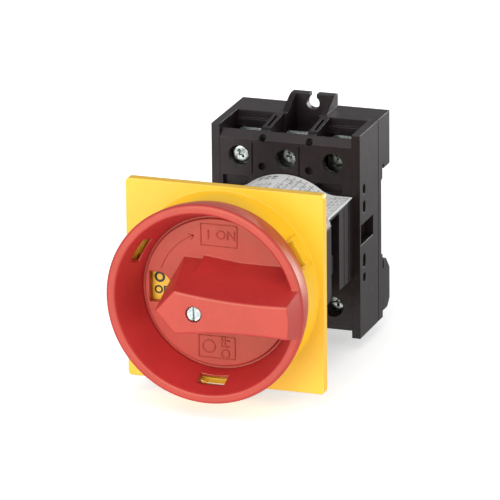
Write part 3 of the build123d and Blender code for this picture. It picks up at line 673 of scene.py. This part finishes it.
def word(text, height_mm, thickness, bolder_mm=0.0):
    """Text as a mesh, centred, with its letters height_mm tall."""
    curve = bpy.data.curves.new(text, "FONT")
    curve.body = text
    curve.size = height_mm * MM / CAPITAL_SHARE
    curve.align_x = "CENTER"
    curve.align_y = "CENTER"
    curve.extrude = thickness / 2
    curve.offset = bolder_mm * MM
    curve.resolution_u = 3
    source = link(text, curve)
    mesh = plain_mesh(source, text)
    mesh.transform(Matrix.Translation((0, 0, thickness / 2)))
    return mesh


def strip(points, width_mm, thickness):
    """Flat bar along a line of (x, y) points in mm, from height 0 to thickness; a loop is closed."""
    nothing_mm = 1e-6
    looped = (Vector(points[0]) - Vector(points[-1])).length < nothing_mm
    line = [Vector(point) for point in (points[:-1] if looped else points)]
    last = len(line) - 1
    work = bmesh.new()
    rows = []
    for index, place in enumerate(line):
        before = line[index - 1] if looped or index > 0 else place
        after = line[(index + 1) % len(line)] if looped or index < last else place
        run = (after - before).normalized()
        across = Vector((-run.y, run.x)) * width_mm / 2
        row = []
        for spot in (place + across, place - across):
            row += [work.verts.new((spot.x * MM, spot.y * MM, level)) for level in (0.0, thickness)]
        rows.append(row)
    following = rows[1:] + rows[:1] if looped else rows[1:]
    for first, second in zip(rows, following):
        for a, b in ((0, 1), (1, 3), (3, 2), (2, 0)):
            work.faces.new((first[a], first[b], second[b], second[a]))
    if not looped:
        for row in (rows[0], rows[-1]):
            work.faces.new((row[0], row[1], row[3], row[2]))
    bmesh.ops.recalc_face_normals(work, faces=work.faces)
    mesh = bpy.data.meshes.new("strip")
    work.to_mesh(mesh)
    work.free()
    return mesh


def arc(radius, start_deg, stop_deg, steps):
    """Points on a circle about the shaft, anticlockwise angles from +X."""
    angles = [radians(start_deg + (stop_deg - start_deg) * step / steps) for step in range(steps + 1)]
    return [(radius * cos(a), radius * sin(a)) for a in angles]


# %% Raised signs on the handle
collar_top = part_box("front_plate")[0][1]
floor_level = collar_top + 1.6 * MM  # the bottom of the handle's bowl
raised = 0.22 * MM
line_height = raised * 0.8
line_width = 0.32
sign_width = 0.45


def sign_frame(x0, x1, z0, z1):
    """Thin raised frame, made of four bars."""
    corners = [(x0, z0), (x1, z0), (x1, z1), (x0, z1), (x0, z0)]
    return [strip(pair, line_width, line_height) for pair in zip(corners, corners[1:])]


def arrow(radius, start, stop):
    """Curved arrow whose head is at the stop angle."""
    barb_mm, barb_deg = 1.0, 4.5
    ahead = 1 if stop > start else -1
    tip = arc(radius, stop, stop, 1)[0]
    back = stop - ahead * barb_deg
    barbs = [arc(radius + side * barb_mm, back, stop, 1)[0] for side in (1, -1)]
    pieces = [strip(arc(radius, start, stop, 24), line_width, line_height)]
    return pieces + [strip([barb, tip], line_width, line_height) for barb in barbs]


def moved(mesh, x, z):
    """Shift a flat mesh in its own plane, in mm."""
    mesh.transform(Matrix.Translation((x * MM, z * MM, 0)))
    return mesh


flat_signs = sign_frame(-5.3, 6.6, 15.2, 22.2) + sign_frame(-6.3, 5.6, -21.4, -14.3)
flat_signs += arrow(19.6, 161, 113) + arrow(19.0, 202, 229)
flat_signs.append(moved(strip(arc(2.0, 0, 360, 28), sign_width, raised), -3.0, -17.8))
flat_signs.append(strip([(-2.8, 17.4), (-2.8, 20.2)], sign_width, raised))
signs = [upright(mesh, 0, 0, floor_level) for mesh in flat_signs]
signs.append(upright(word("ON", 2.9, raised), 2.9, 18.8, floor_level))
signs.append(upright(word("OFF", 2.9, raised), 2.6, -17.8, floor_level, 90))
keep("handle_signs", joined("handle_signs", signs), "handle_group", "red_plastic")

# %% Printed signs on the yellow floor
drum_level = collar_top + 4.8 * MM  # the plate's own floor, under the handle's window
film = 0.03 * MM
printed = [moved(strip(arc(1.38, 0, 360, 32), 0.75, film), -20.2, 2.3)]
printed.append(strip([(-2.6, 17.2), (-2.6, 20.2)], 0.6, film))
marks = [upright(mesh, 0, 0, drum_level) for mesh in printed]
marks.append(upright(word("OFF", 2.5, film, 0.1), -18.9, -2.0, drum_level))
marks.append(upright(word("ON", 2.5, film, 0.1), 1.4, 18.7, drum_level))
keep("position_marks", joined("position_marks", marks), "root", "yellow_plastic", material=black_ink)

# %% [markdown]
# ## Camera, floor and light
# The switch is seen from a little above and to its right, through a long lens that keeps
# its edges nearly parallel. The floor is a white sheet that glows a little, as on a light
# table, so that the undersides aren't lost, but it isn't seen in reflections. A broad soft
# sun from the front and above shapes the forms. Pale panels in front, behind and on the
# right give the upright faces their sheen.

# %% Camera
azimuth, elevation, roll = radians(19.3), radians(17.9), radians(-0.56)
away = Vector((sin(azimuth) * cos(elevation), -cos(azimuth) * cos(elevation), sin(elevation)))
level = Vector((cos(azimuth), sin(azimuth), 0.0))
rise = away.cross(level)
right = cos(roll) * level + sin(roll) * rise
up = -sin(roll) * level + cos(roll) * rise
distance, sideways, upwards = 1.844, 0.0078, 0.01125
plate_front = Vector((0.0, -0.090, 0.0))
lens = bpy.data.cameras.new("Camera")
lens.lens = 425.6
lens.sensor_width = 36.0
camera = bpy.data.objects.new("Camera", lens)
bpy.context.scene.collection.objects.link(camera)
spot = plate_front + distance * away + sideways * right + upwards * up
camera.matrix_world = Matrix((
    (right.x, up.x, away.x, spot.x),
    (right.y, up.y, away.y, spot.y),
    (right.z, up.z, away.z, spot.z),
    (0.0, 0.0, 0.0, 1.0),
))
bpy.context.scene.camera = camera
print("camera at", [round(v, 3) for v in spot])

# %% Floor and lights
def floor_sheet(height, half_size):
    mesh = bpy.data.meshes.new("Floor")
    corners = [(-half_size, -half_size, height), (half_size, -half_size, height)]
    corners += [(half_size, half_size, height), (-half_size, half_size, height)]
    mesh.from_pydata(corners, [], [(0, 1, 2, 3)])
    sheet = link("Floor", mesh)
    made = Finish("Floor paper")
    made.set(Base_Color=(0.93, 0.93, 0.93, 1.0), Roughness=0.9, Specular_IOR_Level=0.1)
    made.set(Emission_Color=(1.0, 1.0, 1.0, 1.0), Emission_Strength=0.45)
    mesh.materials.append(made.material)
    sheet.visible_glossy = False


def aimed(name, kind, azimuth_deg, elevation_deg, reach, strength):
    """Light that looks at the middle of the switch from a direction."""
    data = bpy.data.lights.new(name, kind)
    data.energy = strength
    light = bpy.data.objects.new(name, data)
    a, e = radians(azimuth_deg), radians(elevation_deg)
    middle = Vector((0.0, -0.06, 0.0))
    light.location = middle + reach * Vector((sin(a) * cos(e), -cos(a) * cos(e), sin(e)))
    light.rotation_euler = (middle - light.location).to_track_quat("-Z", "Y").to_euler()
    bpy.context.scene.collection.objects.link(light)
    return data


gap = 0.5 * MM
floor_sheet(cad_box[0][2] - gap, half_size=6.0)
world = bpy.data.worlds.new("Studio")
world.use_nodes = True
backdrop = world.node_tree.nodes["Background"]
backdrop.inputs["Color"].default_value = (1.0, 1.0, 1.0, 1.0)
backdrop.inputs["Strength"].default_value = 0.40
bpy.context.scene.world = world
sun = aimed("Soft sun", "SUN", azimuth_deg=-5.0, elevation_deg=50.0, reach=2.0, strength=1.05)
sun.angle = radians(50)
# Each panel has its direction, its power in watts and its width in metres.
panels = [
    ("Front panel", -14.0, 5.0, 16.0, 1.0),
    ("Back panel", 161.0, 6.0, 13.0, 0.8),
    ("Right panel", 62.0, 12.0, 7.0, 0.9),
]
for name, azimuth_deg, elevation_deg, power, width in panels:
    panel = aimed(name, "AREA", azimuth_deg, elevation_deg, reach=1.4, strength=power)
    panel.size = width
bpy.context.scene.view_settings.view_transform = "Standard"
print("lights: a sun and", len(panels), "panels")
